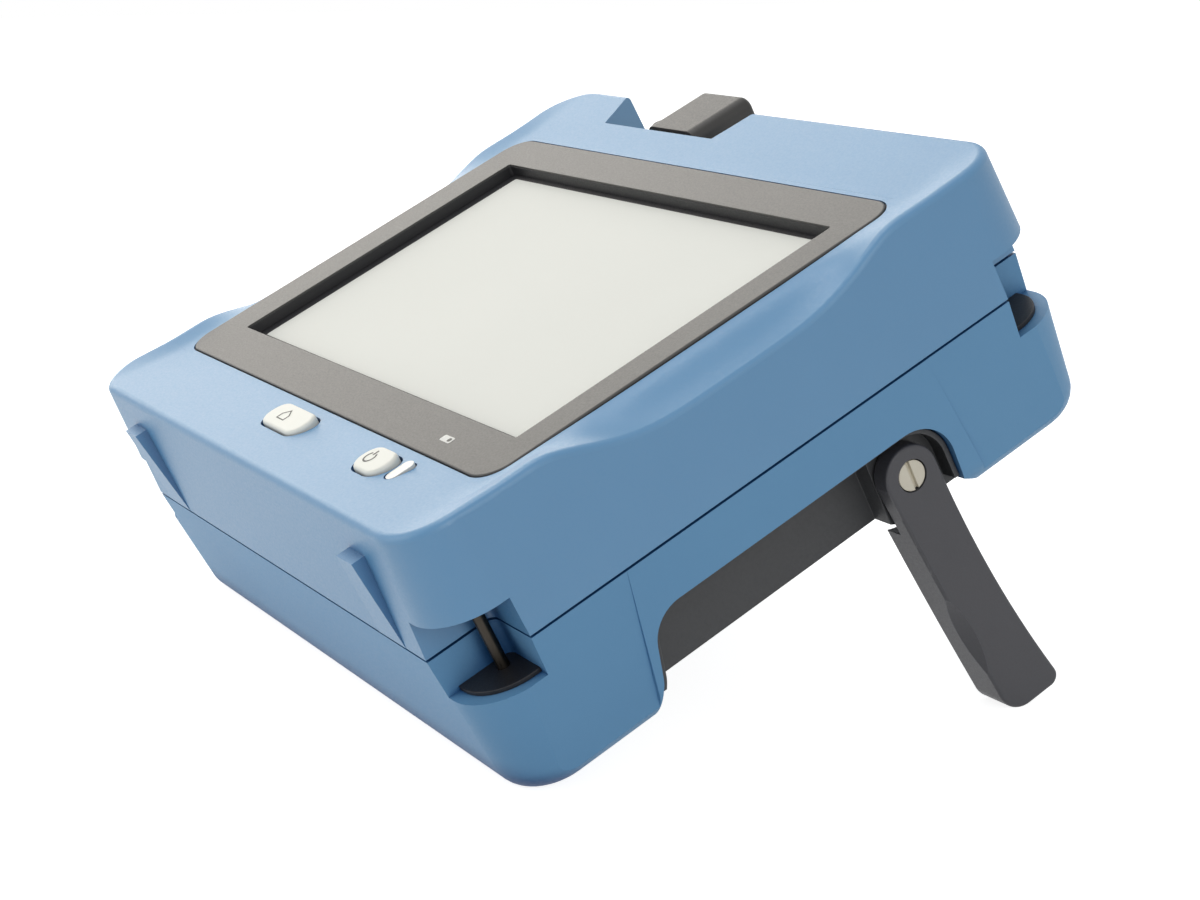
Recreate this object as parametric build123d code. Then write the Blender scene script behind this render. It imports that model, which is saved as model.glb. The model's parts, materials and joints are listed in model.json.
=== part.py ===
"""Handheld optical time domain reflectometer, standing on its two folding side legs.

The case is modelled lying on its back: X across the screen, Y up the screen, Z out of the screen,
with the rear feet on Z = 0. The finished pieces are then tilted onto the open legs, so that +Z is up,
the floor is Z = 0 and the origin is at the bottom centre of the whole instrument.
"""

import os
from math import asin, atan2, degrees, hypot, radians, tan

from build123d import *

overrun = 1.0                      # how far a cutting tool runs past what it cuts

# Case
case_length = 200.0                # across the screen
case_width = 166.0                 # up the screen
case_corner_radius = 15.0
parting_height = 36.2              # middle of the line between the two shells
parting_gap = 0.6
shell_draft_angle = 3.7
wall = 3.0
running_gap = 0.3                  # between neighbours that only lie side by side
fit_gap = 0.05                     # radial clearance of a pin in its hole

# Screen side of the case
bezel_plane_height = 64.5
rim_rise = 3.3                     # raised lower end of the case above the bezel plane
rim_far_rise = 2.4                 # raised upper end
rim_radius = 1.7
shoulder_dip = 7.0                 # how far the long sides sink below the bezel plane
dip_half_length = 48.5             # from the middle of the case to the raised ends
dip_power = 2.2                    # how flat the bottom of the dip is
flat_margin = 1.0                  # flat band left round the bezel
surface_cell = 5.0                 # spacing of the points that carry the curved surface
surface_tolerance = 0.05
lid_depth = 10.5                   # from the bezel plane to the inside of the front shell

# Bezel and display
bezel_margin_x = 11.2              # bezel from the ends of the case
bezel_margin_y = 26.9
bezel_center_x = -1.2
bezel_corner_radius = 7.0
bezel_gap = 0.4                    # dark line round the bezel
bezel_proud = 0.3
bezel_seat_depth = 4.0
bezel_edge_radius = 0.4
screen_margin_x = 11.3             # width of the frame round the screen
screen_margin_y = 12.6
screen_center_x = 1.0
screen_center_y = 0.5
screen_corner_radius = 0.8
screen_step = 3.4                  # from the face of the bezel down to the touch panel
panel_margin = 3.5                 # touch panel past the opening
panel_corner_radius = 1.0
touch_thickness = 1.6
bracket_thickness = 1.4
bracket_border = 5.0
bracket_bar = 14.0
bracket_corner_radius = 3.0

# Buttons and status light below the screen
home_button_x = 1.6
home_button_width = 20.4
power_button_gap = 9.8             # from the status light
power_button_width = 12.6
button_margin_y = 18.9             # from the lower end of the case
button_height = 8.4
button_corner_radius = 3.9
button_proud = 1.3
button_gap = 0.6
button_crown_radius = 0.9
button_travel = 0.8
button_flange = 0.9
button_flange_thickness = 1.2
light_margin_x = 39.2              # from the right end of the case
light_margin_y = 20.0
light_width = 3.5
light_height = 7.0
light_proud = 0.3
light_gap = 0.35
keypad_board_width = 14.0
keypad_thickness = 1.6
keypad_mat_thickness = 1.0
keypad_mat_margin = 6.0
keypad_post_radius = 2.2
keypad_post_left = 15.5            # from the middle of the home button
keypad_post_right = 8.0            # from the middle of the status light
dome_radius = 2.6
dome_height = 0.8

# Wedge ribs on the lower end face
rib_margin_x = 30.7                # from the end of the case
rib_width = 7.9
rib_foot_spread = 5.6              # how much wider the inner flank is at the foot
rib_top_drop = 5.2                 # below the bezel plane
rib_proud = 3.3

# Strap anchors in the four corners
pocket_depth_x = 17.0
pocket_depth_y = 17.0
pocket_half_height = 9.8
pocket_corner_radius = 2.5
strap_pin_inset = 13.0
strap_pin_radius = 1.4
strap_pin_grip = 2.5
anchor_plate_thickness = 1.0
anchor_plate_inset = 3.6           # behind the outside of the case

# Connector bay in the upper end
bay_depth = 14.7
bay_left = -61.0
bay_right = -6.0
bay_left_flare = 7.0               # how far each side opens towards the end face
bay_right_flare = 4.6
bay_bottom = 18.0
plate_thickness = 1.6
plate_side_margin = 1.2
plate_top_drop = 1.0               # below the bezel plane
plate_bottom = 20.0
window_lip = 2.0                   # of the bay floor that the plate lies on

# Dust cap over the test port
cap_left = -41.8
cap_width = 23.6
cap_depth = 19.5
cap_rise = 0.8                     # above the bezel plane
cap_height = 21.0
cap_wall = 1.6
cap_edge_radius = 3.2
hinge_radius = 1.7
hinge_offset = 4.0                 # pin from the foot of the cap
hinge_pin_radius = 0.75
hinge_knuckle_height = 4.2
hinge_top_drop = 1.5               # top of the hinge below the top of the cap

# Ports in the bay
plug_width = 9.1
plug_height = 7.5
adapter_wall = 1.1
adapter_reach = 6.5                # out of the port plate
adapter_depth = 9.0                # behind the port plate
port_room = 1.5                    # behind the deepest port
adapter_flange = 2.0
adapter_flange_height = 1.6
adapter_flange_thickness = 1.8
plug_depth = 10.0
sleeve_radius = 2.0
ferrule_bore_radius = 1.25
port_drop = 9.7                    # below the bezel plane
round_port_x = -53.4
round_port_radius = 4.0
round_port_reach = 3.6
round_port_flange_radius = 5.2
round_port_flange_thickness = 1.2
usb_x = -22.0
usb_width = 13.2
usb_height = 5.8
usb_wall = 0.5
usb_tongue_thickness = 1.8
charge_port_x = -40.0
charge_port_radius = 3.9
charge_bore_radius = 2.8
charge_pin_radius = 1.0
lower_port_height = 28.0
plain_port_depth = 8.4             # of the round and lower ports behind the plate
lower_port_reach = 0.5

# Stand recess through both long sides of the rear shell
pivot_y = 28.8
pivot_z = 13.2
recess_height = 23.2
recess_foot_y = -48.9
recess_knee_y = -44.0
recess_knee_z = 8.0
recess_shoulder_y = -40.4
recess_knee_radius = 8.0
recess_shoulder_radius = 9.0
recess_pivot_clearance = 11.4
recess_far_radius = 10.6
recess_heel_y = 40.6
recess_heel_z = 4.6
recess_far_y = 48.4
foot_edge_radius = 7.0
foot_relief = 1.5
foot_relief_half_length = 66.0
foot_relief_run = 5.0
crease_top_y = 41.4                # crease between the side and each corner, at the parting line
crease_bottom_y = 47.3
crease_depth = 0.9
crease_run = 1.2

# Stand housing between the legs
leg_bay_depth = 13.5               # housing wall behind the side of the case
housing_bottom = 3.0
liner_thickness = 1.2
liner_inset = 3.2                  # liner edge behind the side of the case
liner_bottom = 5.6
hub_radius = 12.2
hub_flat = 6.7                     # flat front of the hub, from the pivot
hub_thickness = 5.9
stop_bottom = 3.0
stop_height = 5.4
stop_clearance = 0.9               # from the side of the leg's head

# Folding legs
leg_length = 67.9
leg_outer_inset = 2.0              # leg face behind the side of the case
leg_thickness = 9.8
leg_head_radius = 7.0
leg_front_tip = 0.3
leg_front_sag = 0.4
leg_back_tip = 16.3
leg_back_sag = 1.9
leg_tip_front_radius = 6.6
leg_tip_back_radius = 2.6
leg_edge_radius = 0.7
leg_hub_gap = 2.3
scoop_start = 34.5
scoop_length = 24.0
scoop_depth = 2.2                  # across the leg, at its outer face
scoop_width = 3.2                  # along the front of the leg
leg_screw_head_radius = 3.5
leg_screw_head_thickness = 1.6
leg_screw_shank_radius = 2.0
leg_screw_slot_width = 1.0
leg_screw_slot_depth = 0.9
leg_screw_sink = 0.3
leg_screw_grip = 9.0
washer_radius = 5.2
washer_thickness = 0.8
washer_gap = 0.1

# Battery bay and door
battery_length = 104.0
battery_width = 56.0
battery_height = 13.0
battery_corner_radius = 4.0
battery_center_y = -3.5
battery_gap = 0.6
door_margin_x = 13.0
door_margin_y = 3.0
door_thickness = 1.8
door_corner_radius = 5.0
door_gap = 0.2
door_grip_count = 5
door_grip_pitch = 3.6
door_grip_width = 1.4
door_grip_length = 20.0
door_grip_depth = 0.7
door_screw_inset = 6.0
door_screw_grip = 7.0              # depth of the screw hole above the door

# Small screws
screw_head_radius = 2.9
screw_head_height = 1.2
screw_shank_radius = 1.5
screw_recess_radius = 1.2
screw_recess_depth = 0.7
case_screw_margin_x = 23.5
case_screw_margin_y = 19.7
case_screw_seat = 9.0
case_screw_grip = 8.0
boss_radius = 5.4

# Boards and optical module
board_length = 132.0
board_width = 84.0
board_thickness = 1.6
board_drop = 10.0                  # below the inside of the front shell
board_center_y = -2.0
board_corner_radius = 2.0
standoff_radius = 2.4
standoff_inset = 6.0
chip_size = 17.0
chip_height = 2.2
chip_count = 3
chip_pitch = 34.0
module_length = 70.0
module_width = 52.0
module_clearance = 5.2             # above the roof of the stand recess
module_center_x = -18.0
module_center_y = 24.0
module_rib_count = 7
module_rib_width = 1.8
module_rib_height = 1.6
gasket_inset = 1.4
gasket_width = 1.2

half_length = case_length / 2
half_width = case_width / 2
bezel_width = case_length - 2 * bezel_margin_x
bezel_height = case_width - 2 * bezel_margin_y
screen_width = bezel_width - 2 * screen_margin_x
screen_height = bezel_height - 2 * screen_margin_y
button_y = button_margin_y - half_width
light_x = half_length - light_margin_x
light_y = light_margin_y - half_width
power_button_x = light_x - power_button_gap
rib_x = half_length - rib_margin_x
bay_floor_y = half_width - bay_depth
housing_half_length = half_length - leg_bay_depth
case_screw_x = half_length - case_screw_margin_x
case_screw_y = half_width - case_screw_margin_y
draft_slope = tan(radians(shell_draft_angle))
front_bottom = parting_height + parting_gap / 2
rear_top = parting_height - parting_gap / 2
case_top = bezel_plane_height + max(rim_rise, rim_far_rise)
ceiling_height = bezel_plane_height - lid_depth
plate_top = bezel_plane_height - plate_top_drop
cap_top = bezel_plane_height + cap_rise
port_height = bezel_plane_height - port_drop
bezel_top = bezel_plane_height + bezel_proud
bezel_seat = bezel_plane_height - bezel_seat_depth
touch_top = bezel_top - screen_step
lcd_top = touch_top - touch_thickness
panel_width = screen_width + 2 * panel_margin
panel_height = screen_height + 2 * panel_margin
bracket_bottom = ceiling_height - bracket_thickness
board_bottom = ceiling_height - board_drop
board_top = board_bottom + board_thickness
recess_roof = recess_height + wall
module_height = board_bottom - recess_roof - module_rib_height - module_clearance
pocket_wall_x = half_length - pocket_depth_x
pocket_wall_y = half_width - pocket_depth_y
pocket_top = parting_height + pocket_half_height
pocket_bottom = parting_height - pocket_half_height
plate_face_y = bay_floor_y + plate_thickness
cap_right = cap_left + cap_width
cap_x = (cap_left + cap_right) / 2
cap_near_y = plate_face_y + running_gap
cap_bottom = cap_top - cap_height
hinge_x = cap_left - hinge_radius + cap_wall / 2
hinge_y = cap_near_y + hinge_offset
hinge_top = cap_top - hinge_top_drop
hinge_bottom = cap_bottom + hinge_top_drop
hub_face_x = housing_half_length + hub_thickness
leg_outer_x = half_length - leg_outer_inset
leg_inner_x = leg_outer_x - leg_thickness
cheek_inner_x = hub_face_x + washer_thickness + washer_gap
leg_notch_radius = hub_radius + leg_hub_gap
leg_screw_face_x = leg_outer_x - leg_screw_sink
leg_screw_seat_x = leg_screw_face_x - leg_screw_head_thickness
door_top = housing_bottom + door_thickness
door_screw_seat = housing_bottom + screw_head_height
battery_bottom = door_top + running_gap
button_flange_bottom = ceiling_height - button_flange_thickness
mat_top = button_flange_bottom - button_travel - running_gap - dome_height
keypad_top = mat_top - keypad_mat_thickness
bay_wall_y = bay_floor_y - wall
ends_from_y = bay_floor_y - adapter_depth - port_room


def prism(width, height, radius, low, high, x=0.0, y=0.0):
    """A rounded rectangle pulled up from one level to another."""
    return extrude(Pos(x, y, low) * RectangleRounded(width, height, radius), high - low)


def block(x0, x1, y0, y1, z0, z1):
    """A plain box between two corners."""
    middle = Pos((x0 + x1) / 2, (y0 + y1) / 2, (z0 + z1) / 2)
    return middle * Box(abs(x1 - x0), abs(y1 - y0), abs(z1 - z0))


def post(radius, x, y, z0, z1):
    """A cylinder along Z."""
    return Pos(x, y, (z0 + z1) / 2) * Cylinder(radius, abs(z1 - z0))


def pill(length, width, low, high, x, y, angle=0):
    """A bar with round ends pulled up from one level to another, long side at the given angle from X."""
    return extrude(Pos(x, y, low) * Rot(0, 0, angle) * SlotOverall(length, width), high - low)


def axle(radius, x0, x1, y=pivot_y, z=pivot_z):
    """A cylinder along X, by default on the leg pivot."""
    return Pos((x0 + x1) / 2, y, z) * Rot(0, 90, 0) * Cylinder(radius, abs(x1 - x0))


def spigot(radius, x, z, y0, y1):
    """A cylinder along Y."""
    return Pos(x, (y0 + y1) / 2, z) * Rot(90, 0, 0) * Cylinder(radius, abs(y1 - y0))


def side_prism(outline, x0, x1):
    """An outline in (Y, Z) pulled along X."""
    return extrude(Pos(min(x0, x1), 0, 0) * (Plane.YZ * outline), abs(x1 - x0))


def four(x, y):
    """The four mirrored places of one point."""
    return [(sx * x, sy * y) for sx in (-1, 1) for sy in (-1, 1)]


def both_sides(piece):
    """A piece of the right-hand side together with its mirror image."""
    return [piece, mirror(piece, Plane.YZ)]


def case_outline(inset):
    """The rounded plan of the case, drawn in all round."""
    return RectangleRounded(case_length - 2 * inset, case_width - 2 * inset, case_corner_radius - inset)


def drafted_case(split_height, end_height):
    """The side walls of the case from the parting line to one end, narrowing with the draft."""
    split = Pos(0, 0, split_height) * case_outline(0)
    return extrude(split, end_height - split_height, taper=shell_draft_angle)


def share(value):
    """A value held between nought and one."""
    return max(0.0, min(1.0, value))


def eased(value):
    """A share that starts and ends level."""
    return value * value * (3 - 2 * value)


def surface_height(x, y):
    """Height of the screen side of the case: flat round the bezel, dipped sides, raised ends."""
    flat_y = bezel_height / 2 + flat_margin
    flat_x = bezel_width / 2 + flat_margin
    rise = rim_rise if y < 0 else rim_far_rise
    end = rise * share((abs(y) - flat_y) / (half_width - flat_y))
    outward = share((abs(x - bezel_center_x) - flat_x) / (half_length - flat_x))
    rim = (shoulder_dip + rise) * eased(share(abs(y) / dip_half_length) ** dip_power) - shoulder_dip
    return bezel_plane_height + end * (1 - outward) + rim * outward


def air_above_screen():
    """Everything above the curved screen side, as one cutting solid."""
    reach_x, reach_y = half_length + surface_cell, half_width + surface_cell
    steps_x, steps_y = round(2 * reach_x / surface_cell), round(2 * reach_y / surface_cell)
    xs = [reach_x * (2 * i / steps_x - 1) for i in range(steps_x + 1)]
    ys = [reach_y * (2 * j / steps_y - 1) for j in range(steps_y + 1)]
    points = [[Vector(x, y, surface_height(x, y)) for y in ys] for x in xs]
    skin = Face.make_surface_from_array_of_points(points, tol=surface_tolerance, min_deg=3, max_deg=3)
    return Solid.extrude(skin, Vector(0, 0, rim_radius + shoulder_dip + rim_rise))


def rim_edges(shell):
    """The edges between the curved screen side and the drafted side walls."""
    found = []
    for face in shell.faces():
        upright = abs(face.normal_at(face.center()).Z) < 2 * draft_slope
        for edge in face.edges() if upright else []:
            high = edge.center().Z > bezel_plane_height - shoulder_dip - overrun
            if high and not any(edge.is_same(other) for other in found):
                found.append(edge)
    return found


def strap_pockets(low, high, grow=0):
    """The square notches in the four corners that the hand strap goes round."""
    radius = pocket_corner_radius + grow
    width, height = pocket_depth_x + grow + radius + overrun, pocket_depth_y + grow + radius + overrun
    places = four(pocket_wall_x - grow + width / 2, pocket_wall_y - grow + height / 2)
    return [prism(width, height, radius, low, high, x, y) for x, y in places]


def strap_pin_places():
    """Where the four strap pins stand."""
    return four(half_length - strap_pin_inset, half_width - strap_pin_inset)


def bay_cut(low, high, grow=0):
    """The flared connector bay, open at the upper end face."""
    reach = half_width + overrun
    run = (reach - bay_floor_y) / bay_depth
    left, right, floor = bay_left - grow, bay_right + grow, bay_floor_y - grow
    outline = Polyline(
        (left, floor), (right, floor),
        (right + bay_right_flare * run, reach), (left - bay_left_flare * run, reach), close=True)
    return extrude(Pos(0, 0, low) * make_face(outline), high - low)


def shell_cavity(low, high, wall_drop):
    """The hollow of a shell, kept clear of the strap pockets and the connector bay."""
    end = half_width - wall - wall_drop * draft_slope
    side = half_length - wall - wall_drop * draft_slope
    narrow = pocket_wall_x - wall
    wide = block(-side, side, wall - pocket_wall_y, bay_wall_y - wall, low, high)
    lower = block(-narrow, narrow, -end, 0, low, high)
    upper = block(-narrow, narrow, 0, bay_wall_y, low, high)
    beside_bay = block(bay_right + bay_right_flare + wall, narrow, 0, end, low, high)
    return wide + lower + upper + beside_bay


def port_window():
    """The opening in the floor of the bay that the ports pass through, covered by the connector plate."""
    side, low, high = plate_side_margin + window_lip, plate_bottom + window_lip, plate_top - window_lip
    return block(bay_left + side, bay_right - side, ends_from_y, bay_floor_y + overrun, low, high)


def port_holes(gap):
    """Straight holes for every port, with the given clearance round it."""
    near, far = bay_floor_y - overrun, plate_face_y + overrun
    wide, tall = plug_width / 2 + adapter_wall + gap, plug_height / 2 + adapter_wall + gap
    holes = [block(cap_x - wide, cap_x + wide, near, far, port_height - tall, port_height + tall)]
    for z in (port_height, lower_port_height):
        holes.append(spigot(round_port_radius + gap, round_port_x, z, near, far))
    wide, tall = usb_width / 2 + gap, usb_height / 2 + gap
    low, high = lower_port_height - tall, lower_port_height + tall
    holes.append(block(usb_x - wide, usb_x + wide, near, far, low, high))
    return holes + [spigot(charge_port_radius + gap, charge_port_x, lower_port_height, near, far)]


def wedge_rib():
    """A wedge on the lower end face: square at the top and run out to nothing at the parting line."""
    top = bezel_plane_height - rib_top_drop
    outer, inner = rib_x + rib_width / 2, rib_x - rib_width / 2
    top_face = -half_width + (top - front_bottom) * draft_slope
    foot = (front_bottom, inner - rib_foot_spread, -half_width, fit_gap)
    sections = []
    for level, left, face, proud in (foot, (top, inner, top_face, rib_proud)):
        outline = Polyline(
            (outer, face + wall), (outer, face - proud), (left, face - proud), (left, face + wall),
            close=True)
        sections.append(Pos(0, 0, level) * make_face(outline))
    return loft(sections, ruled=True)


def front_openings():
    """Everything that is cut through the screen side: display, buttons and status light."""
    top, low = case_top + overrun, ceiling_height - overrun
    gap = 2 * running_gap
    cuts = [
        prism(bezel_width + 2 * bezel_gap, bezel_height + 2 * bezel_gap, bezel_corner_radius + bezel_gap,
              bezel_seat, top, bezel_center_x),
        prism(panel_width + gap, panel_height + gap, panel_corner_radius + running_gap,
              low, top, screen_center_x, screen_center_y)]
    gap = 2 * button_gap
    for x, width in ((home_button_x, home_button_width), (power_button_x, power_button_width)):
        cuts.append(prism(width + gap, button_height + gap, button_corner_radius + button_gap,
                          low, top, x, button_y))
    gap = 2 * light_gap
    return cuts + [pill(light_height + gap, light_width + gap, low, top, light_x, light_y, 90)]


def front_shell():
    """Screen half of the case."""
    low, top = front_bottom - overrun, ceiling_height + overrun
    shell = drafted_case(front_bottom, case_top + overrun) - air_above_screen()
    shell = fillet(rim_edges(shell), rim_radius)
    shell += both_sides(wedge_rib())
    shell -= shell_cavity(low, ceiling_height, ceiling_height - front_bottom)
    shell -= strap_pockets(low, pocket_top)
    shell -= bay_cut(low, case_top + overrun)
    shell -= front_openings()
    shell -= port_window()
    shell += [post(keypad_post_radius, x, button_y, keypad_top, top) for x in keypad_post_places()]
    for x, y in four(case_screw_x, case_screw_y):
        shell += post(boss_radius - wall / 2, x, y, front_bottom, top)
        shell -= post(screw_shank_radius + fit_gap, x, y, low, front_bottom + case_screw_grip + overrun)
    shell -= [post(strap_pin_radius + fit_gap, x, y, pocket_top - overrun, pocket_top + strap_pin_grip)
              for x, y in strap_pin_places()]
    return shell


def recess_outline():
    """The stand recess seen from the side: a low arch with a round end over the leg pivot."""
    far = pivot_y + recess_pivot_clearance
    radii = [recess_knee_radius, recess_shoulder_radius, recess_far_radius, 0]
    path = FilletPolyline(
        (recess_foot_y, -overrun), (recess_knee_y, recess_knee_z), (recess_shoulder_y, recess_height),
        (far, recess_height), (recess_heel_y, recess_heel_z), (recess_far_y, -overrun), radius=radii)
    return make_face([path, Line((recess_far_y, -overrun), (recess_foot_y, -overrun))])


def foot_relief_cut():
    """The shallow step that leaves a foot at each corner."""
    run = foot_relief_run * (foot_relief + overrun) / foot_relief
    outline = Polyline(
        (-foot_relief_half_length, foot_relief), (foot_relief_half_length, foot_relief),
        (foot_relief_half_length + run, -overrun), (-foot_relief_half_length - run, -overrun), close=True)
    end = Pos(0, half_width + overrun, 0) * (Plane.XZ * make_face(outline))
    return extrude(end, case_width + 2 * overrun)


def side_creases():
    """The four shallow wedges off the side walls that leave a slanting crease before each corner."""
    outside, end = half_length + overrun, half_width + overrun
    sections = []
    for level, crease, depth in ((rear_top, crease_top_y, fit_gap), (0, crease_bottom_y, crease_depth)):
        face = half_length - (rear_top - level) * draft_slope - depth
        outline = Polyline(
            (outside, crease - depth * crease_run), (face, crease), (face, end), (outside, end), close=True)
        sections.append(Pos(0, 0, level) * make_face(outline))
    wedge = loft(sections, ruled=True)
    return both_sides(wedge) + both_sides(mirror(wedge, Plane.XZ))


def rear_shell():
    """Back half of the case, with its corner feet and the arched stand recess."""
    shell = drafted_case(rear_top, 0)
    shell = fillet(shell.faces().sort_by(Axis.Z)[0].edges(), foot_edge_radius)
    shell -= side_creases()
    shell -= side_prism(recess_outline(), -half_length - overrun, half_length + overrun)
    shell -= foot_relief_cut()
    shell -= strap_pockets(pocket_bottom, rear_top + overrun)
    shell -= bay_cut(bay_bottom, rear_top + overrun)
    floor = foot_relief + wall
    shell -= shell_cavity(floor, rear_top + overrun, rear_top) - block(
        -half_length, half_length, recess_foot_y - wall, recess_far_y + wall, 0, recess_roof)
    for x, y in four(case_screw_x, case_screw_y):
        shell += post(boss_radius, x, y, floor - overrun, rear_top)
        shell -= post(screw_head_radius + running_gap, x, y, -overrun, case_screw_seat)
        shell -= post(screw_shank_radius + fit_gap, x, y, 0, rear_top + overrun)
    shell -= port_window()
    shell -= [post(strap_pin_radius + fit_gap, x, y, pocket_bottom - strap_pin_grip, pocket_bottom + overrun)
              for x, y in strap_pin_places()]
    return shell


def middle_of(shell):
    """The middle of a shell, from one end piece to the other."""
    return shell & block(-case_length, case_length, -ends_from_y, ends_from_y, -overrun, case_top + overrun)


def ends_of(shell):
    """The ends of a shell, parted face to face beside each notch, so that plain hulls leave it open."""
    lower = (-case_length, -pocket_wall_x, pocket_wall_x, case_length)
    upper = (-case_length, bay_left, bay_right, -bay_left, case_length)
    pieces = []
    for side, cuts in ((-1, lower), (1, upper)):
        for left, right in zip(cuts, cuts[1:]):
            pieces.append(shell & block(left, right, side * ends_from_y, side * case_width,
                                        -overrun, case_top + overrun))
    return pieces


def sealed_block(inset, low, high):
    """The plan of the case between its pockets and its connector bay, drawn in all round."""
    solid = extrude(Pos(0, 0, low) * case_outline(inset), high - low)
    solid -= strap_pockets(low - overrun, high + overrun, inset)
    return solid - bay_cut(low - overrun, high + overrun, inset)


def case_gasket():
    """The seal in the parting line, one closed ring round the pockets and the connector bay."""
    hollow = sealed_block(gasket_inset + gasket_width, rear_top - overrun, front_bottom + overrun)
    return sealed_block(gasket_inset, rear_top, front_bottom) - hollow


def screen_bezel():
    """The dark frame round the display."""
    frame = prism(bezel_width, bezel_height, bezel_corner_radius, bezel_seat, bezel_top, bezel_center_x)
    frame = fillet(frame.faces().sort_by(Axis.Z)[-1].edges(), bezel_edge_radius)
    frame -= prism(screen_width, screen_height, screen_corner_radius,
                   bezel_seat - overrun, bezel_top + overrun, screen_center_x, screen_center_y)
    return frame - prism(panel_width + 2 * running_gap, panel_height + 2 * running_gap,
                         panel_corner_radius + running_gap, bezel_seat - overrun, touch_top,
                         screen_center_x, screen_center_y)


def touch_panel():
    """The clear touch panel."""
    return prism(panel_width, panel_height, panel_corner_radius, lcd_top, touch_top,
                 screen_center_x, screen_center_y)


def lcd_module():
    """The display behind the touch panel."""
    return prism(panel_width, panel_height, panel_corner_radius, ceiling_height, lcd_top,
                 screen_center_x, screen_center_y)


def display_bracket():
    """The sheet metal frame that clamps the display against the front shell."""
    width, height = panel_width + 2 * bracket_border, panel_height + 2 * bracket_border
    plate = prism(width, height, bracket_corner_radius, bracket_bottom, ceiling_height,
                  screen_center_x, screen_center_y)
    window_width, window_height = (width - 3 * bracket_bar) / 2, height - 2 * bracket_bar
    for side in (-1, 1):
        x = screen_center_x + side * (window_width + bracket_bar) / 2
        plate -= prism(window_width, window_height, bracket_corner_radius, bracket_bottom - overrun,
                       ceiling_height + overrun, x, screen_center_y)
    return plate


def button(x, width):
    """A domed key with a flange that holds it behind the front shell."""
    top = surface_height(x, button_y) + button_proud
    key = prism(width, button_height, button_corner_radius, button_flange_bottom, top, x, button_y)
    key = fillet(key.faces().sort_by(Axis.Z)[-1].edges(), button_crown_radius)
    grow = 2 * (button_gap + button_flange)
    return key + prism(width + grow, button_height + grow, button_corner_radius + button_flange,
                       button_flange_bottom, ceiling_height, x, button_y)


def keypad_post_places():
    """The two posts that the keypad board hangs on."""
    return home_button_x - keypad_post_left, light_x + keypad_post_right


def keypad_board():
    """The small board behind the buttons."""
    left, right = keypad_post_places()
    length = right - left + 2 * keypad_post_radius
    return prism(length, keypad_board_width, keypad_post_radius, keypad_top - keypad_thickness, keypad_top,
                 (left + right) / 2, button_y)


def keypad_mat():
    """The silicone mat with one dome under each button."""
    left, right = home_button_x - keypad_mat_margin, power_button_x + keypad_mat_margin
    mat = prism(right - left, keypad_board_width, keypad_post_radius, keypad_top, mat_top,
                (left + right) / 2, button_y)
    for x in (home_button_x, power_button_x):
        mat += Pos(x, button_y, mat_top + dome_height / 2) * Cone(dome_radius, dome_radius / 2, dome_height)
    return mat


def status_light_pipe():
    """The light pipe beside the power button, standing on the keypad board."""
    top = surface_height(light_x, light_y) + light_proud
    return pill(light_height, light_width, keypad_top, top, light_x, light_y, 90)


def strap_pins():
    """The four metal pins that the hand strap loops round."""
    return [post(strap_pin_radius, x, y, pocket_bottom - strap_pin_grip, pocket_top + strap_pin_grip)
            for x, y in strap_pin_places()]


def anchor_plates():
    """The dark plates on the floors of the strap pockets."""
    top = pocket_bottom + anchor_plate_thickness
    inside = extrude(Pos(0, 0, pocket_bottom) * case_outline(anchor_plate_inset), anchor_plate_thickness)
    plates = [pocket & inside for pocket in strap_pockets(pocket_bottom, top)]
    holes = [post(strap_pin_radius + fit_gap, x, y, pocket_bottom - overrun, top + overrun)
             for x, y in strap_pin_places()]
    return [plate - holes for plate in plates]


def connector_plate():
    """The dark plate that carries the ports and the hinge of the dust cap."""
    left, right = bay_left + plate_side_margin, bay_right - plate_side_margin
    plate = block(left, right, bay_floor_y, plate_face_y, plate_bottom, plate_top)
    plate -= port_holes(fit_gap)
    ear_low, ear_high = hinge_bottom + hinge_knuckle_height, hinge_top - hinge_knuckle_height
    plate += post(hinge_radius, hinge_x, hinge_y, ear_low, ear_high)
    plate += block(hinge_x - hinge_radius, hinge_x, plate_face_y - fit_gap, hinge_y, ear_low, ear_high)
    return plate - post(hinge_pin_radius + fit_gap, hinge_x, hinge_y, ear_low - overrun, ear_high + overrun)


def dust_cap():
    """The hollow cap that swings sideways off the test port."""
    body = block(cap_left, cap_right, cap_near_y, cap_near_y + cap_depth, cap_bottom, cap_top)
    body = fillet(body.edges().filter_by(Axis.Y), cap_edge_radius)
    body = fillet(body.faces().sort_by(Axis.Y)[-1].edges(), cap_edge_radius / 2)
    body -= block(cap_left + cap_wall, cap_right - cap_wall, cap_near_y - overrun,
                  cap_near_y + cap_depth - cap_wall, cap_bottom + cap_wall, cap_top - cap_wall)
    ear_low, ear_high = hinge_bottom + hinge_knuckle_height, hinge_top - hinge_knuckle_height
    body -= post(hinge_radius + running_gap, hinge_x, hinge_y, ear_low - running_gap, ear_high + running_gap)
    for low, high in ((hinge_bottom, ear_low - running_gap), (ear_high + running_gap, hinge_top)):
        knuckle = post(hinge_radius, hinge_x, hinge_y, low, high)
        web = block(hinge_x, cap_left + cap_wall, hinge_y - hinge_radius, hinge_y, low, high)
        body += [knuckle, web]
    return body - post(hinge_pin_radius + fit_gap, hinge_x, hinge_y, cap_bottom, hinge_top + overrun)


def cap_hinge_pin():
    """The pin of the dust cap's hinge."""
    return post(hinge_pin_radius, hinge_x, hinge_y, hinge_bottom, hinge_top)


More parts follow.
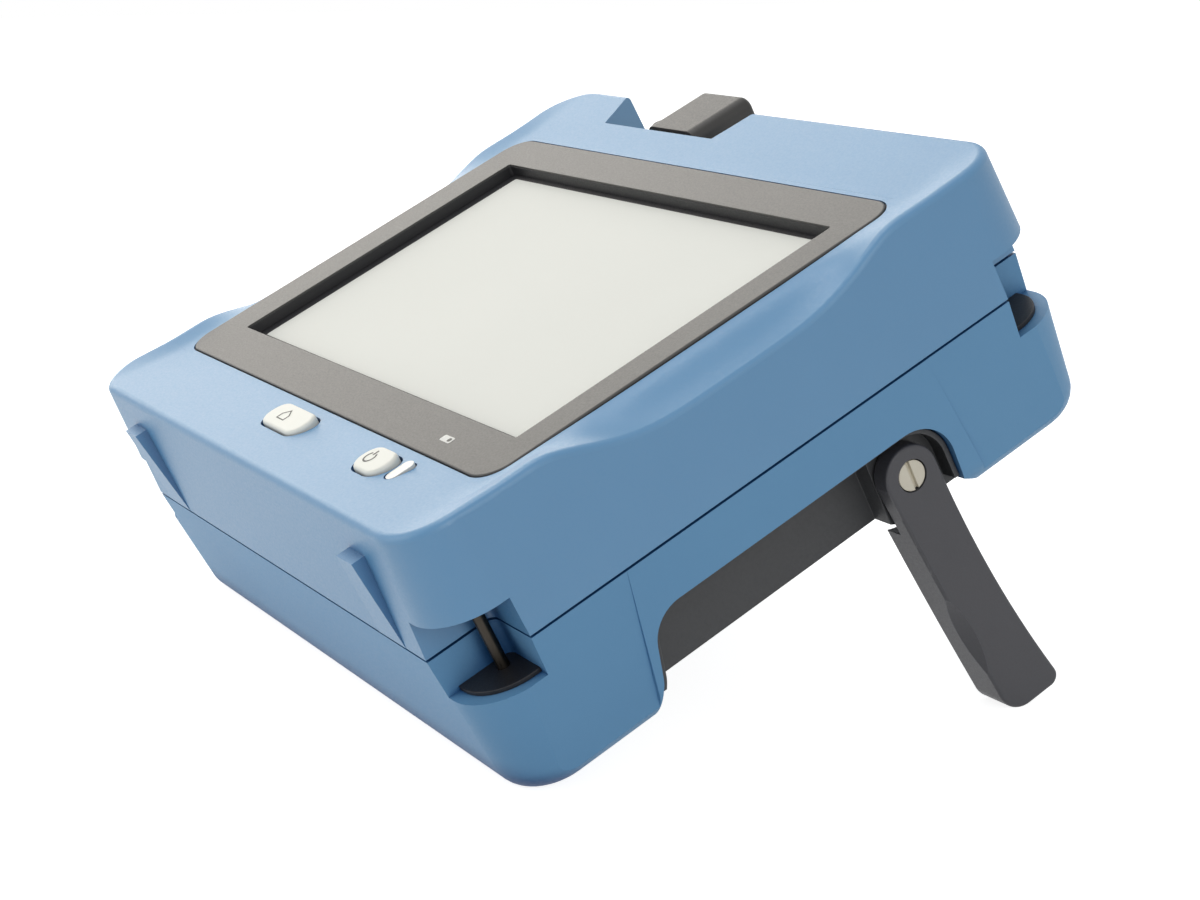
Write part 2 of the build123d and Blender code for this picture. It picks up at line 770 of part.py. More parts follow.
def test_port_adapter():
    """The square optical adapter under the dust cap."""
    wide, tall = plug_width / 2 + adapter_wall, plug_height / 2 + adapter_wall
    near, far = bay_floor_y - adapter_depth, plate_face_y + adapter_reach
    body = block(cap_x - wide, cap_x + wide, near, far, port_height - tall, port_height + tall)
    wide, tall = wide + adapter_flange, tall + adapter_flange_height
    body += block(cap_x - wide, cap_x + wide, plate_face_y, plate_face_y + adapter_flange_thickness,
                  port_height - tall, port_height + tall)
    wide, tall = plug_width / 2, plug_height / 2
    body -= block(cap_x - wide, cap_x + wide, far - plug_depth, far + overrun,
                  port_height - tall, port_height + tall)
    body += spigot(sleeve_radius, cap_x, port_height, far - plug_depth - overrun, far - adapter_wall)
    return body - spigot(ferrule_bore_radius, cap_x, port_height, near - overrun, far + overrun)


def round_port(height):
    """A round optical port with its flange on the port plate."""
    near, far = bay_floor_y - plain_port_depth, plate_face_y + round_port_reach
    body = spigot(round_port_radius, round_port_x, height, near, far)
    body += spigot(round_port_flange_radius, round_port_x, height, plate_face_y,
                   plate_face_y + round_port_flange_thickness)
    return body - spigot(ferrule_bore_radius, round_port_x, height, near - overrun, far + overrun)


def usb_socket():
    """The metal shell of the data socket, with its tongue."""
    near, far = bay_floor_y - plain_port_depth, plate_face_y + lower_port_reach
    wide, tall = usb_width / 2, usb_height / 2
    body = block(usb_x - wide, usb_x + wide, near, far, lower_port_height - tall, lower_port_height + tall)
    inner, low = wide - usb_wall, tall - usb_wall
    body -= block(usb_x - inner, usb_x + inner, near + wall, far + overrun,
                  lower_port_height - low, lower_port_height + low)
    tongue = usb_tongue_thickness / 2
    return body + block(usb_x - inner + usb_wall, usb_x + inner - usb_wall, near, far - usb_wall,
                        lower_port_height - tongue, lower_port_height + tongue)


def charge_jack():
    """The round power inlet with its centre pin."""
    near, far = bay_floor_y - plain_port_depth, plate_face_y + lower_port_reach
    body = spigot(charge_port_radius, charge_port_x, lower_port_height, near, far)
    body -= spigot(charge_bore_radius, charge_port_x, lower_port_height, near + wall, far + overrun)
    return body + spigot(charge_pin_radius, charge_port_x, lower_port_height, near, far - wall / 2)


def housing_core(inset):
    """The recess outline drawn in by a clearance."""
    return offset(recess_outline(), -inset)


def leg_stop():
    """The block on the liner that the back of the open leg comes to rest against."""
    near = pivot_y + leg_head_radius + stop_clearance
    stop = block(housing_half_length, hub_face_x, near, recess_far_y, stop_bottom, stop_bottom + stop_height)
    return stop & side_prism(housing_core(running_gap), housing_half_length, hub_face_x)


def leg_hub(core):
    """The round boss behind the head of a leg, flat in front and level with the back of the housing."""
    hub = axle(hub_radius, housing_half_length, hub_face_x)
    hub &= side_prism(core, housing_half_length, hub_face_x)
    return hub & block(0, case_length, pivot_y - hub_flat, half_width, pivot_z - hub_radius, half_width)


def stand_housing():
    """The dark middle of the back, with the liners, hubs and stops of the two legs."""
    core = housing_core(running_gap)
    body = side_prism(core, -housing_half_length, housing_half_length)
    body -= block(-case_length, case_length, -half_width, half_width, -case_width, housing_bottom)
    liner = side_prism(core, housing_half_length, half_length - liner_inset)
    liner -= side_prism(housing_core(running_gap + liner_thickness), 0, half_length)
    liner -= block(-case_length, case_length, -half_width, half_width, -case_width, liner_bottom)
    for part in (liner, leg_hub(core), leg_stop()):
        body += both_sides(part)
    screw_end = leg_screw_seat_x - leg_screw_grip
    body -= both_sides(axle(leg_screw_shank_radius + fit_gap, screw_end, leg_outer_x))
    gap = battery_gap
    body -= prism(battery_length + 2 * gap, battery_width + 2 * gap, battery_corner_radius + gap, 0,
                  battery_bottom + battery_height + running_gap, 0, battery_center_y)
    body -= door_outline(door_gap, 0, door_top)
    for x in door_screw_places():
        body -= post(screw_shank_radius + fit_gap, x, battery_center_y,
                     door_top - overrun, door_top + door_screw_grip)
    return body


def door_outline(gap, low, high):
    """The battery door, or with a gap the rebate that it lies in."""
    width = battery_length + 2 * door_margin_x + 2 * gap
    height = battery_width + 2 * battery_gap + 2 * door_margin_y + 2 * gap
    return prism(width, height, door_corner_radius + gap, low, high, 0, battery_center_y)


def door_screw_places():
    """Where the two captive screws of the battery door sit."""
    x = battery_length / 2 + door_margin_x - door_screw_inset
    return -x, x


def battery_door():
    """The door over the battery, with grip grooves and two countersunk places for its screws."""
    door = door_outline(0, housing_bottom, door_top)
    for x in door_screw_places():
        door -= post(screw_shank_radius + fit_gap, x, battery_center_y, 0, door_top + overrun)
        door -= post(screw_head_radius + running_gap, x, battery_center_y, 0, door_screw_seat)
    for n in range(door_grip_count):
        y = battery_center_y + (n - (door_grip_count - 1) / 2) * door_grip_pitch
        door -= pill(door_grip_length, door_grip_width, 0, housing_bottom + door_grip_depth, 0, y)
    return door


def battery_pack():
    """The rechargeable battery in its bay."""
    return prism(battery_length, battery_width, battery_corner_radius,
                 battery_bottom, battery_bottom + battery_height, 0, battery_center_y)


def small_screw(x, y, seat, grip):
    """A pan head screw driven upwards, with its head below the seat."""
    head = seat - screw_head_height
    body = post(screw_head_radius, x, y, head, seat) + post(screw_shank_radius, x, y, seat, seat + grip)
    return body - post(screw_recess_radius, x, y, head - overrun, head + screw_recess_depth)


def case_screws():
    """The four screws that hold the two shells together."""
    grip = front_bottom + case_screw_grip - case_screw_seat
    return [small_screw(x, y, case_screw_seat, grip) for x, y in four(case_screw_x, case_screw_y)]


def door_screws():
    """The two screws of the battery door."""
    grip = door_top + door_screw_grip - door_screw_seat - running_gap
    return [small_screw(x, battery_center_y, door_screw_seat, grip) for x in door_screw_places()]


def leg_outline():
    """Side view of an open leg in (Y, Z): round head, slightly bowed edges, rounded tip."""
    front, back = (-leg_head_radius, 0), (leg_head_radius, 0)
    front_tip, back_tip = (leg_front_tip, -leg_length), (leg_back_tip, -leg_length)
    front_middle = ((front[0] + front_tip[0]) / 2 - leg_front_sag, -leg_length / 2)
    back_middle = ((back[0] + back_tip[0]) / 2 - leg_back_sag, -leg_length / 2)
    edges = [
        ThreePointArc(front, (0, leg_head_radius), back), ThreePointArc(back, back_middle, back_tip),
        Line(back_tip, front_tip), ThreePointArc(front_tip, front_middle, front)]
    outline = make_face(edges)
    tips = outline.vertices().sort_by(Axis.Y)[:2].sort_by(Axis.X)
    outline = fillet(tips[0], leg_tip_front_radius)
    back_corner = outline.vertices().sort_by(Axis.Y)[:2].sort_by(Axis.X)[-1]
    return Pos(pivot_y, pivot_z) * fillet(back_corner, leg_tip_back_radius)


def leg_scoop():
    """The finger scoop in the front edge of a leg: a cylinder laid slanting across its outer corner."""
    middle = scoop_start + scoop_length / 2
    slant = hypot(scoop_depth, scoop_width)
    depth = scoop_depth * scoop_width / slant
    radius = ((scoop_length / 2) ** 2 + depth ** 2) / (2 * depth)
    front_y = (leg_front_tip + leg_head_radius) * middle / leg_length - leg_head_radius - leg_front_sag
    corner = Pos(leg_outer_x, pivot_y + front_y, pivot_z - middle)
    turned = corner * Rot(0, 0, degrees(atan2(scoop_depth, scoop_width)))
    return turned * Pos(0, depth - radius, 0) * Rot(0, 90, 0) * Cylinder(radius, leg_length)


def stand_leg():
    """The right-hand folding leg, open: a thin cheek over the hub and a thick shank below it."""
    leg = side_prism(leg_outline(), leg_inner_x, leg_outer_x)
    rim = leg.faces().sort_by(Axis.X)[-1].edges()
    leg = fillet(rim, leg_edge_radius)
    leg -= axle(leg_notch_radius, leg_inner_x - overrun, cheek_inner_x)
    leg -= leg_scoop()
    leg -= axle(leg_screw_shank_radius + fit_gap, leg_inner_x, leg_outer_x + overrun)
    sink = leg_screw_seat_x - washer_gap
    return leg - axle(leg_screw_head_radius + running_gap, sink, leg_outer_x + overrun)


def stand_screw():
    """The slotted shoulder screw that a leg turns on."""
    screw = axle(leg_screw_head_radius, leg_screw_seat_x, leg_screw_face_x)
    screw += axle(leg_screw_shank_radius, leg_screw_seat_x - leg_screw_grip, leg_screw_seat_x)
    half, reach = leg_screw_slot_width / 2, leg_screw_head_radius + overrun
    slot = block(leg_screw_face_x - leg_screw_slot_depth, leg_screw_face_x + overrun,
                 pivot_y - half, pivot_y + half, pivot_z - reach, pivot_z + reach)
    return screw - slot


def stand_washer():
    """The friction washer between a leg and its hub."""
    ring = axle(washer_radius, hub_face_x, hub_face_x + washer_thickness)
    return ring - axle(leg_screw_shank_radius + fit_gap, housing_half_length, leg_outer_x)


def main_board():
    """The main circuit board with its processors."""
    board = prism(board_length, board_width, board_corner_radius,
                  board_bottom, board_top, 0, board_center_y)
    for n in range(chip_count):
        x = (n - (chip_count - 1) / 2) * chip_pitch
        board += prism(chip_size, chip_size, board_thickness / 2,
                       board_top - fit_gap, board_top + chip_height, x, board_center_y)
    return board


def board_standoffs():
    """The four pillars between the board and the display bracket."""
    places = four(board_length / 2 - standoff_inset, board_width / 2 - standoff_inset)
    return [post(standoff_radius, x, y + board_center_y, board_top, bracket_bottom) for x, y in places]


def optical_module():
    """The metal box with the laser and receiver, ribbed on its lower side."""
    low = board_bottom - module_height
    box = prism(module_length, module_width, board_corner_radius,
                low, board_bottom, module_center_x, module_center_y)
    pitch, rib_reach = module_width / module_rib_count, module_length / 2 - wall
    for n in range(module_rib_count):
        y = module_center_y + (n - (module_rib_count - 1) / 2) * pitch
        box += block(module_center_x - rib_reach, module_center_x + rib_reach,
                     y - module_rib_width / 2, y + module_rib_width / 2,
                     low - module_rib_height, low + fit_gap)
    return box


def standing_place(nodes):
    """The turn and shift that stand the instrument on its lower feet and on its open legs."""
    lean = hypot(1, draft_slope)
    foot_y = -half_width + (rear_top - foot_edge_radius) * draft_slope + foot_edge_radius * lean
    foot = Vector(foot_y, foot_edge_radius)
    arcs = leg_outline().edges().filter_by(GeomType.CIRCLE)
    tip_arc = arcs.sort_by(lambda arc: abs(arc.radius - leg_tip_front_radius))[0]
    tip = Vector(tip_arc.arc_center.X, tip_arc.arc_center.Y)
    reach = (tip - foot).length
    slope = atan2(tip.Y - foot.Y, tip.X - foot.X)
    tilt = asin((leg_tip_front_radius - foot_edge_radius) / reach) - slope
    turn = Rot(degrees(tilt), 0, 0)
    ground = (turn * Pos(0, foot.X, foot.Y)).position.Z - foot_edge_radius
    box = Compound([turn * solid for solids in nodes for solid in solids]).bounding_box()
    return Pos(0, -(box.min.Y + box.max.Y) / 2, -ground) * turn


def all_pieces():
    """Every node of the instrument by name, in the frame of the case; a list where it has several solids."""
    leg, front, rear = stand_leg(), front_shell(), rear_shell()
    return {
        "front_shell": middle_of(front),
        "front_shell_ends": ends_of(front),
        "rear_shell": middle_of(rear),
        "rear_shell_ends": ends_of(rear),
        "case_gasket": case_gasket(),
        "screen_bezel": screen_bezel(),
        "touch_panel": touch_panel(),
        "lcd_module": lcd_module(),
        "display_bracket": display_bracket(),
        "home_button": button(home_button_x, home_button_width),
        "power_button": button(power_button_x, power_button_width),
        "status_light_pipe": status_light_pipe(),
        "keypad_mat": keypad_mat(),
        "keypad_board": keypad_board(),
        "strap_pins": strap_pins(),
        "anchor_plates": anchor_plates(),
        "connector_plate": connector_plate(),
        "dust_cap": dust_cap(),
        "cap_hinge_pin": cap_hinge_pin(),
        "test_port_adapter": test_port_adapter(),
        "fault_locator_port": round_port(port_height),
        "power_meter_port": round_port(lower_port_height),
        "usb_socket": usb_socket(),
        "charge_jack": charge_jack(),
        "stand_housing": stand_housing(),
        "battery_door": battery_door(),
        "battery_pack": battery_pack(),
        "door_screws": door_screws(),
        "case_screws": case_screws(),
        "stand_leg_right": leg,
        "stand_leg_left": mirror(leg, Plane.YZ),
        "stand_screws": both_sides(stand_screw()),
        "stand_washers": both_sides(stand_washer()),
        "main_board": main_board(),
        "board_standoffs": board_standoffs(),
        "optical_module": optical_module(),
    }


def main():
    """Builds every node, stands the instrument up and writes one file per node."""
    os.makedirs("parts", exist_ok=True)
    nodes = {name: node if isinstance(node, list) else [node] for name, node in all_pieces().items()}
    place = standing_place(nodes.values())
    for name, pieces in nodes.items():
        export_step(Compound([place * solid for piece in pieces for solid in piece.solids()]),
                    f"parts/{name}.step")


main()
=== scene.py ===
"""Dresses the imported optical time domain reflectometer, adds fine pieces and lights it.

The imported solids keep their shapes. This file gives each of them a finish, adds what is printed,
inlaid or too fine for the solids, and sets up a plain studio. Sizes are in millimetres in the
frame of the case (X across the screen, Y up the screen, Z out of it) and become metres in the
row frame.
"""

import json
import logging
import math
from dataclasses import dataclass
from enum import Enum
from typing import Any, ClassVar, Sequence

import bmesh
import bpy
from mathutils import Matrix, Vector


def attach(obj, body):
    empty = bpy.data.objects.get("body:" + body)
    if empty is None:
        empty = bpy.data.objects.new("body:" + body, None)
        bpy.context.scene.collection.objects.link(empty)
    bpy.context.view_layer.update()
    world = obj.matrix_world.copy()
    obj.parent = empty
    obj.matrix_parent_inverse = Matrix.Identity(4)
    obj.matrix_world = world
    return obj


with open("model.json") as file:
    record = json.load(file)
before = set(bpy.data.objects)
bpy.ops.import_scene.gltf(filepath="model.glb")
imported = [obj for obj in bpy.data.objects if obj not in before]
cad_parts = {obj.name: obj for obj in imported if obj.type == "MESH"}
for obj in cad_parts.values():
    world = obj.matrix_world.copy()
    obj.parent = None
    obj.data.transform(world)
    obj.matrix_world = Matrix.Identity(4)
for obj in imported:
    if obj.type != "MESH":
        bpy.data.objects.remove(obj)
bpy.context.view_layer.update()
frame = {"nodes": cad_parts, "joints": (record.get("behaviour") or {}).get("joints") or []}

log = logging.getLogger("reflectometer")
MM = 0.001
# Middle of the right leg's pin in the frame of the case
LEG_PIVOT_MM = (93.1, 28.8, 13.2)
# Detail of the two noises, and the part of a noise's range that it mostly stays in
MOTTLE_DETAIL, GRAIN_DETAIL = 3.0, 2.0
GRAIN_LOW, GRAIN_HIGH = 0.3, 0.7
# Cosine between the rounded and flat normal where the edge tint, part wear and part painted light,
# starts and is full
EDGE_STARTS, EDGE_FULL = 0.995, 0.80
# Openness where the painted shade of a hollow starts and where it is full
HOLLOW_SHADE_STARTS, HOLLOW_SHADE_FULL = 0.75, 0.35
TURN_SAMPLES = 6
# Segments of a corner in the small printed signs
SIGN_STEPS = 4
# How far a thin piece stands off what it lies on, so that the two don't flicker
LIFT = 0.01

Point = tuple[float, float]
Colour = tuple[float, float, float, float]


class Coating(Enum):
    """How the outermost layer of a finish is made."""

    BARE = "bare"
    LACQUERED = "lacquered"


def linear(code: str) -> Colour:
    """Turns an sRGB hex colour into linear light.

    Args:
        code: Six hex digits with a leading hash.

    Returns:
        Red, green, blue and an alpha of one.
    """
    parts = [int(code[i:i + 2], 16) / 255 for i in (1, 3, 5)]
    lit = [c / 12.92 if c <= 0.04045 else ((c + 0.055) / 1.055) ** 2.4 for c in parts]
    return (lit[0], lit[1], lit[2], 1.0)


def add_node(tree: bpy.types.NodeTree, kind: str, settings: dict[str, Any] | None = None,
             **inputs: Any) -> bpy.types.Node:
    """Adds a shader node with its settings and links.

    Args:
        tree: The node tree of a material or world.
        kind: Blender's name of the node's type.
        settings: Properties of the node itself.
        inputs: Values or sockets for its inputs; spaces are written as underscores, and an input
            that shares its name is given by its number, as in_0.

    Returns:
        The new node.
    """
    node = tree.nodes.new(kind)
    for name, value in (settings or {}).items():
        setattr(node, name, value)
    for name, value in inputs.items():
        by_number = name.startswith("in_")
        socket = node.inputs[int(name[3:]) if by_number else name.replace("_", " ")]
        if isinstance(value, bpy.types.NodeSocket):
            tree.links.new(value, socket)
        else:
            socket.default_value = value
    return node


def blend(tree: bpy.types.NodeTree, share: Any, first: Any, second: Any) -> bpy.types.NodeSocket:
    """Mixes two colours.

    Args:
        tree: The node tree of a material.
        share: How much of the second colour there is.
        first: Colour or socket.
        second: Colour or socket.

    Returns:
        The socket of the mixed colour.
    """
    return add_node(tree, "ShaderNodeMix", {"data_type": "RGBA"}, in_0=share, in_6=first,
                    in_7=second).outputs[2]


def noise(tree: bpy.types.NodeTree, place: bpy.types.NodeSocket, size_mm: float,
          detail: float) -> bpy.types.NodeSocket:
    """Noise whose spots are about as large as the size.

    Args:
        tree: The node tree of a material.
        place: Socket of the coordinates.
        size_mm: Size of a spot in millimetres.
        detail: Detail of the noise.

    Returns:
        The socket of its value.
    """
    return add_node(tree, "ShaderNodeTexNoise", Vector=place, Scale=1 / (size_mm * MM),
                    Detail=detail).outputs[0]


def spread(tree: bpy.types.NodeTree, value: bpy.types.NodeSocket, start: float, end: float,
           low: float, high: float) -> bpy.types.NodeSocket:
    """Carries a value from one range to another.

    Args:
        tree: The node tree of a material.
        value: Socket of the value.
        start: Value that becomes low.
        end: Value that becomes high.
        low: First end of the new range.
        high: Other end of the new range.

    Returns:
        The socket of the new value.
    """
    return add_node(tree, "ShaderNodeMapRange", Value=value, From_Min=start, From_Max=end,
                    To_Min=low, To_Max=high).outputs[0]


@dataclass(frozen=True)
class CasePlace:
    """Where the tilted case stands in the row frame."""

    matrix: Matrix

    @classmethod
    def from_joints(cls, joints: Sequence[dict[str, Any]]) -> "CasePlace":
        """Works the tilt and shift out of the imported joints.

        Args:
            joints: The joints of the frame, with the leg hinge and the cap hinge among them.

        Returns:
            The place of the case.
        """
        by_name = {joint["name"]: joint for joint in joints}
        upright = by_name["cap_hinge"]["axis"]
        turn = Matrix.Rotation(math.atan2(-upright[1], upright[2]), 4, "X")
        shift = Vector(by_name["leg_right_hinge"]["pos_m"]) - turn @ (Vector(LEG_PIVOT_MM) * MM)
        return cls(Matrix.Translation(shift) @ turn)

    def point(self, x: float, y: float, z: float) -> Vector:
        """A case-frame point in millimetres as a row-frame point in metres."""
        return self.matrix @ (Vector((x, y, z)) * MM)

    def direction(self, x: float, y: float, z: float) -> Vector:
        """A case-frame direction in the row frame."""
        return self.matrix.to_3x3() @ Vector((x, y, z))


PLACE = CasePlace.from_joints(frame["joints"])


@dataclass(frozen=True)
class Finish:
    """What every finish shares: a mottled colour, a grain, and edges whose tint is partly handling
    wear and partly painted light.

    The real erosion textures are finer than a fifth of a millimetre. They are drawn coarser,
    because a finer grain can't be told apart in a picture and only makes it noisy.
    """

    name: str = "finish"
    colour: str = "#808080"
    shade: str = "#707070"
    # Edge colour: partly wear and partly painted light
    edge_wear_and_painted_light: str = "#a0a0a0"
    roughness: float = 0.45
    roughness_spread: float = 0.06
    metallic: float = 0.0
    ior: float = 1.5
    specular: float = 0.5
    grain_mm: float = 0.5
    grain_depth_mm: float = 0.01
    grain_stretch: tuple[float, float, float] = (1.0, 1.0, 1.0)
    mottle_mm: float = 25.0
    edge_mm: float = 0.35
    edge_share: float = 0.35
    # Painted shade: the colour that hollows are darkened towards, none when empty
    hollow_shade: str = ""
    hollow_shade_mm: float = 9.0
    coating: Coating = Coating.BARE
    coat: float = 0.0
    coat_roughness: float = 0.1
    sheen: float = 0.0
    transmission: float = 0.0

    def build(self) -> bpy.types.Material:
        """Makes the material.

        Returns:
            A node material named for the finish.
        """
        made = bpy.data.materials.new(self.name)
        made.use_nodes = True
        tree = made.node_tree
        tree.nodes.clear()
        place = add_node(tree, "ShaderNodeTexCoord").outputs["Object"]
        stretched = add_node(tree, "ShaderNodeMapping", Vector=place,
                             Scale=self.grain_stretch).outputs[0]
        mottle = noise(tree, place, self.mottle_mm, MOTTLE_DETAIL)
        grain = noise(tree, stretched, self.grain_mm, GRAIN_DETAIL)
        colour = blend(tree, mottle, linear(self.colour), linear(self.shade))
        colour, normal = self.tint_edges_for_wear_and_light(tree, colour)
        shader = self.lay_surface(tree, self.paint_hollow_shade(tree, colour), grain, normal)
        add_node(tree, "ShaderNodeOutputMaterial", Surface=shader.outputs[0])
        return made

    def tint_edges_for_wear_and_light(self, tree: bpy.types.NodeTree, colour: bpy.types.NodeSocket
                  ) -> tuple[bpy.types.NodeSocket, bpy.types.NodeSocket]:
        """Rounds the edges in the shading and tints them, mostly paler, partly as wear and partly
        as painted highlight.

        Args:
            tree: The node tree of the material.
            colour: Socket of the colour so far.

        Returns:
            The sockets of the new colour and of the normal.
        """
        flat = add_node(tree, "ShaderNodeNewGeometry").outputs["Normal"]
        if not self.edge_mm:
            return colour, flat
        rounded = add_node(tree, "ShaderNodeBevel", {"samples": TURN_SAMPLES},
                           Radius=self.edge_mm * MM).outputs[0]
        facing = add_node(tree, "ShaderNodeVectorMath", {"operation": "DOT_PRODUCT"}, in_0=rounded,
                          in_1=flat).outputs["Value"]
        # Wear and painted light: the edges are tinted where the rounded normal turns from the flat
        # one
        edge = spread(tree, facing, EDGE_STARTS, EDGE_FULL, 0.0, self.edge_share)
        return blend(tree, edge, colour, linear(self.edge_wear_and_painted_light)), rounded

    def paint_hollow_shade(self, tree: bpy.types.NodeTree, colour: bpy.types.NodeSocket
               ) -> bpy.types.NodeSocket:
        """Paints shade into hollows, darkening the colour where light only arrives off the same
        plastic.

        Args:
            tree: The node tree of the material.
            colour: Socket of the colour so far.

        Returns:
            The socket of the new colour.
        """
        if not self.hollow_shade:
            return colour
        # Painted shade: ambient occlusion darkens the colour in hollows
        openness = add_node(tree, "ShaderNodeAmbientOcclusion", {"samples": TURN_SAMPLES},
                            Distance=self.hollow_shade_mm * MM).outputs["AO"]
        shut = spread(tree, openness, HOLLOW_SHADE_STARTS, HOLLOW_SHADE_FULL, 0.0, 1.0)
        return blend(tree, shut, colour, linear(self.hollow_shade))

    def lay_surface(self, tree: bpy.types.NodeTree, colour: bpy.types.NodeSocket,
                    grain: bpy.types.NodeSocket, normal: bpy.types.NodeSocket
                    ) -> bpy.types.Node:
        """Makes the shader with its grained gloss, relief and coating.

        Args:
            tree: The node tree of the material.
            colour: Socket of the colour.
            grain: Socket of the grain.
            normal: Socket of the normal.

        Returns:
            The shader node.
        """
        rough = spread(tree, grain, GRAIN_LOW, GRAIN_HIGH, self.roughness - self.roughness_spread,
                       self.roughness + self.roughness_spread)
        relief = add_node(tree, "ShaderNodeBump", Height=grain, Normal=normal, Strength=1.0,
                          Distance=self.grain_depth_mm * MM).outputs[0]
        shader = add_node(tree, "ShaderNodeBsdfPrincipled", Base_Color=colour, Roughness=rough,
                          Metallic=self.metallic, IOR=self.ior, Normal=relief,
                          Specular_IOR_Level=self.specular, Transmission_Weight=self.transmission,
                          Sheen_Weight=self.sheen)
        if self.coating is Coating.LACQUERED:
            shader.inputs["Coat Weight"].default_value = self.coat
            shader.inputs["Coat Roughness"].default_value = self.coat_roughness
        return shader


@dataclass(frozen=True)
class TexturedPcAbs(Finish):
    """PC/ABS blend from a spark-eroded mould: an even satin, with shade of a deeper blue painted
    into its hollows.

    It has no rounded edge in the shading, which would draw a line where two parts of a shell meet.
    """

    name: str = "textured_pc_abs"
    colour: str = "#5890bb"
    shade: str = "#5189b4"
    roughness: float = 0.42
    specular: float = 0.95
    grain_mm: float = 0.6
    grain_depth_mm: float = 0.012
    mottle_mm: float = 40.0
    edge_mm: float = 0.0
    # Painted shade: the deeper blue that the hollows are darkened towards
    hollow_shade: str = "#1d4f82"


@dataclass(frozen=True)
class RearPaintedLightPcAbs(TexturedPcAbs):
    """Painted-light copy of the front plastic for the back half: duller, so its end face reads
    shaded, and paler, so its sides still match.
    """

    name: str = "rear_painted_light_pc_abs"
    # Painted light: paler than the front half, making up for the glare its sides lose
    colour: str = "#6c9fc7"
    shade: str = "#6597c0"
    roughness: float = 0.5
    specular: float = 0.35
    grain_depth_mm: float = 0.016


@dataclass(frozen=True)
class NitrileCord(Finish):
    """Nitrile rubber dyed a blackish navy: dull, so the parting line reads as a dark thread."""

    name: str = "nitrile_cord"
    colour: str = "#14304e"
    shade: str = "#102438"
    edge_wear_and_painted_light: str = "#1d3a58"
    roughness: float = 0.7
    specular: float = 0.3


@dataclass(frozen=True)
class SatinGreyPolycarbonate(Finish):
    """Satin polycarbonate: a dark, slightly warm grey that glare lifts to a mid grey."""

    name: str = "satin_grey_polycarbonate"
    colour: str = "#444341"
    shade: str = "#3f3e3c"
    edge_wear_and_painted_light: str = "#75746f"
    roughness: float = 0.42
    grain_mm: float = 0.45
    grain_depth_mm: float = 0.006
    edge_mm: float = 0.25


@dataclass(frozen=True)
class BlackLiner(Finish):
    """Black moulded polycarbonate: the dark step that sinks between the bezel and the display."""

    name: str = "black_liner"
    colour: str = "#17171a"
    shade: str = "#1d1d20"
    edge_wear_and_painted_light: str = "#2c2c30"
    roughness: float = 0.5


@dataclass(frozen=True)
class UnlitDisplay(Finish):
    """The diffuser of a switched-off transflective display: matt, off-white and a little green."""

    name: str = "unlit_display"
    colour: str = "#e9eae4"
    shade: str = "#e4e5df"
    edge_wear_and_painted_light: str = "#f0f1ec"
    roughness: float = 0.6
    specular: float = 0.15
    grain_mm: float = 0.9
    grain_depth_mm: float = 0.002
    mottle_mm: float = 60.0


@dataclass(frozen=True)
class HardCoatedPanel(Finish):
    """Clear acrylic with an anti-glare hard coat: hardly seen but for a soft reflection."""

    name: str = "hard_coated_panel"
    colour: str = "#fbfcfa"
    shade: str = "#f8faf7"
    edge_wear_and_painted_light: str = "#ffffff"
    roughness: float = 0.12
    roughness_spread: float = 0.02
    ior: float = 1.49
    transmission: float = 1.0
    grain_depth_mm: float = 0.0005
    edge_share: float = 0.0


@dataclass(frozen=True)
class SatinKeyPlastic(Finish):
    """Ivory ABS keys, their edges paler, partly from finger wear and partly as painted highlight.
    """

    name: str = "satin_key_plastic"
    colour: str = "#e6e7df"
    shade: str = "#e1e2da"
    # Wear and painted highlight: the paler colour of the edges
    edge_wear_and_painted_light: str = "#f2f2ec"
    roughness: float = 0.4
    grain_mm: float = 0.4
    grain_depth_mm: float = 0.004
    mottle_mm: float = 8.0
    edge_mm: float = 0.3


@dataclass(frozen=True)
class MilkyLightPipe(Finish):
    """Milky acrylic: glossy, with a faint depth."""

    name: str = "milky_light_pipe"
    colour: str = "#e8e8e2"
    shade: str = "#dedfd9"
    edge_wear_and_painted_light: str = "#f6f6f2"
    roughness: float = 0.22
    coating: Coating = Coating.LACQUERED
    coat: float = 0.4


@dataclass(frozen=True)
class PadPrint(Finish):
    """Pad-printed ink on plastic: flat and matt, a hair above the surface."""

    name: str = "pad_print"
    colour: str = "#4a4a46"
    shade: str = "#54544f"
    edge_wear_and_painted_light: str = "#6a6a64"
    roughness: float = 0.55
    grain_mm: float = 0.2
    grain_depth_mm: float = 0.002
    mottle_mm: float = 2.0
    edge_mm: float = 0.05


@dataclass(frozen=True)
class WhitePrint(PadPrint):
    """The same ink in white."""

    name: str = "white_print"
    colour: str = "#e4e4e0"
    shade: str = "#dcdcd8"
    edge_wear_and_painted_light: str = "#f2f2ef"


@dataclass(frozen=True)
class GlassFilledNylon(Finish):
    """Glass-filled nylon, moulded: dark grey with a grain and paler grey edges, part rubbing wear
    and part painted highlight.
    """

    name: str = "glass_filled_nylon"
    colour: str = "#414146"
    shade: str = "#3a3a3f"
    # Wear and painted highlight: the paler grey of the edges
    edge_wear_and_painted_light: str = "#7b7b80"
    roughness: float = 0.45
    grain_mm: float = 0.5
    grain_depth_mm: float = 0.015
    mottle_mm: float = 12.0
    edge_mm: float = 0.4


@dataclass(frozen=True)
class DarkHousingPlastic(Finish):
    """Dark grey ABS with a matt erosion texture."""

    name: str = "dark_housing_plastic"
    colour: str = "#3c3d3f"
    shade: str = "#353638"
    edge_wear_and_painted_light: str = "#67686a"
    roughness: float = 0.52
    grain_mm: float = 0.7
    grain_depth_mm: float = 0.02
    mottle_mm: float = 20.0


